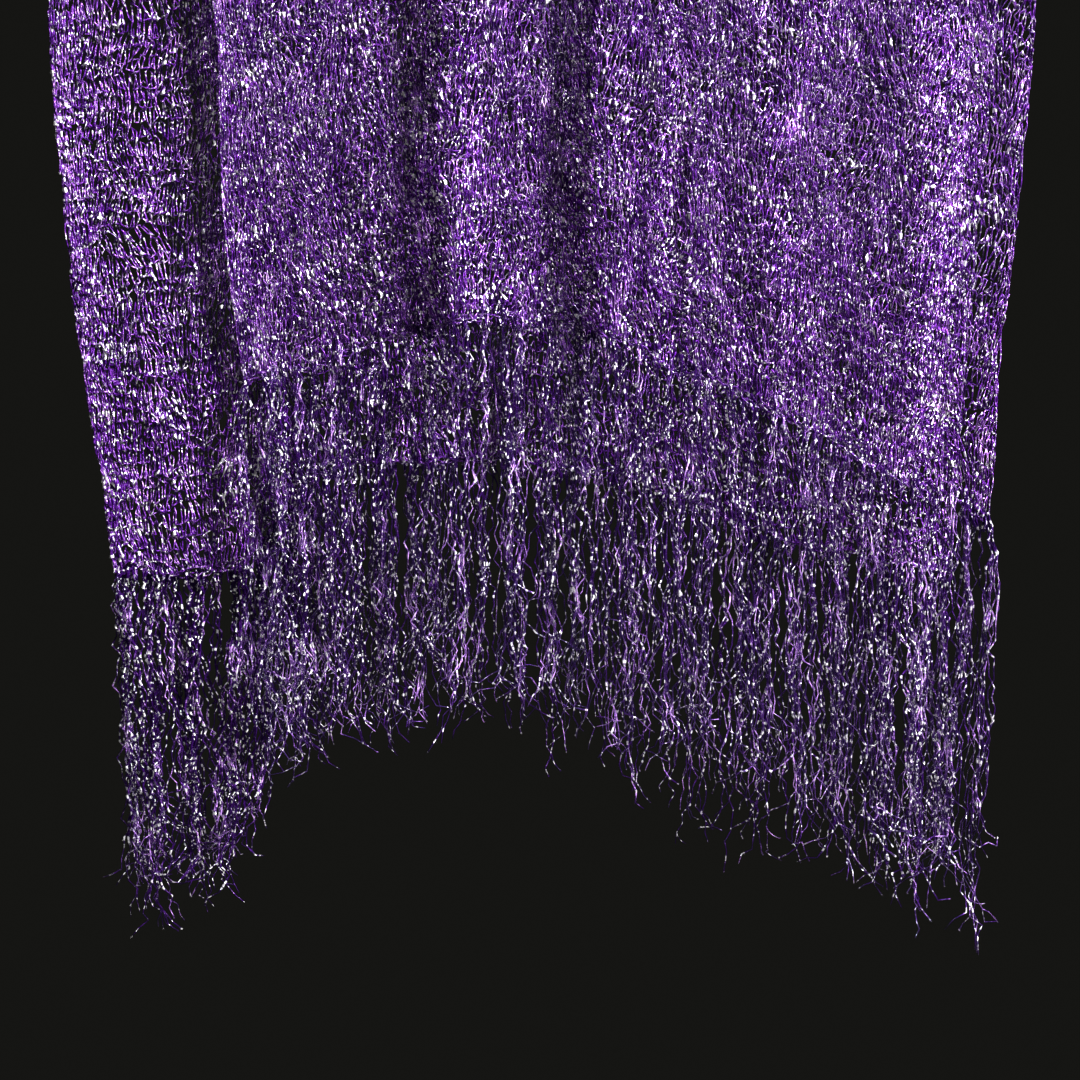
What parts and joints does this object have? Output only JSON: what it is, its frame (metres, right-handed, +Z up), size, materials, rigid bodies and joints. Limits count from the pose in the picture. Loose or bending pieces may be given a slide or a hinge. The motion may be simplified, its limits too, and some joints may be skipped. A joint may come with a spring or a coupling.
{
  "type": "fringed net shawl on a hanger",
  "caption": "Long open-knit shawl with a long fringe at both ends, folded in half over a plain coat hanger.",
  "frame": {"origin": "seat of the hook: the point of its inner top that rests on a rail", "axes": "+Z up, front of the shawl faces -Y, +X to the right as seen from the front"},
  "size_m": [0.456, 0.0466, 1.1426],
  "materials": {
    "net": "purple open knit with silver metallic flecks",
    "net_shaded": "purple open knit with silver metallic flecks",
    "fringe": "loose purple yarn with silver metallic flecks",
    "fringe_shaded": "loose purple yarn with silver metallic flecks",
    "wood": "pale beech, satin varnish",
    "hook_steel": "polished"
  },
  "bodies": {
    "root": {"front_panel": "net", "back_panel": "net_shaded", "front_fringe": "fringe", "back_fringe": "fringe_shaded", "hanger": "wood", "hook": "hook_steel"}
  },
  "joints": []
}
